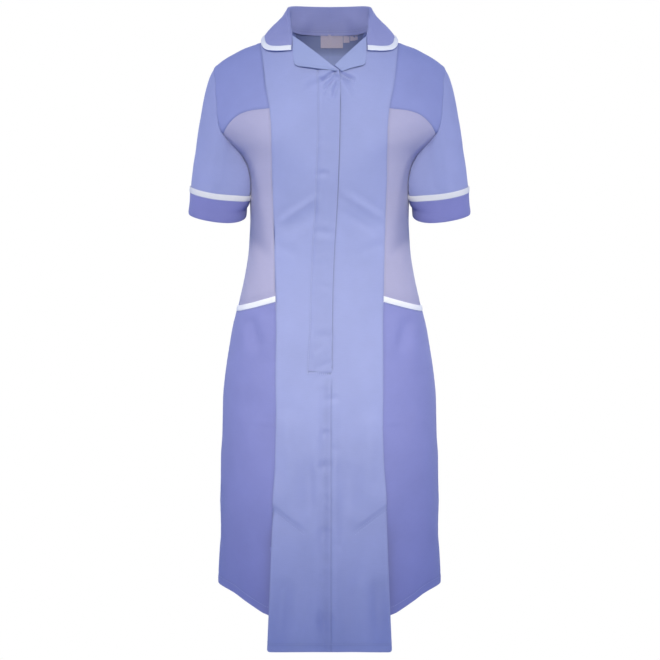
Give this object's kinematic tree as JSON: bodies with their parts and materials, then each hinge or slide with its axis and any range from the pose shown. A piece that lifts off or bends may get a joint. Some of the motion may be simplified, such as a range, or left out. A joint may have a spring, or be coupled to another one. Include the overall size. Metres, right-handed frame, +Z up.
{
  "type": "nurse uniform dress",
  "caption": "Short-sleeved work dress with a piped collar, lapels, a concealed front opening, piped pockets and kick pleats, filled out as worn.",
  "frame": {"origin": "middle of the neck, level with the neck ends of the shoulder seams, where the wearer's shoulders hold it", "axes": "+Z up, front of the dress towards -Y, +X to its wearer's left"},
  "size_m": [0.5, 0.3141, 1.1172],
  "materials": {
    "cloth": "plain twill, lilac blue",
    "cloth_facing": "plain twill, lilac blue",
    "piping": "white cotton binding",
    "label": "woven satin tape, bare",
    "zip": "woven zip tape"
  },
  "bodies": {
    "root": {"front_centre_left": "cloth", "front_centre_right": "cloth", "front_side_left": "cloth", "front_side_right": "cloth", "front_yoke_left": "cloth", "front_yoke_right": "cloth", "skirt_side_left": "cloth", "skirt_side_right": "cloth", "back_left": "cloth", "back_right": "cloth", "pleat_left": "cloth", "pleat_right": "cloth", "sleeve_left": "cloth", "sleeve_right": "cloth", "cuff_left": "cloth", "cuff_right": "cloth", "collar": "cloth", "lapel_left": "cloth_facing", "lapel_right": "cloth_facing", "collar_piping": "piping", "cuff_piping_left": "piping", "cuff_piping_right": "piping", "pocket_piping_left": "piping", "pocket_piping_right": "piping", "neck_label": "label", "size_tab_a": "label", "size_tab_b": "label", "zip_tape": "zip"}
  },
  "joints": []
}
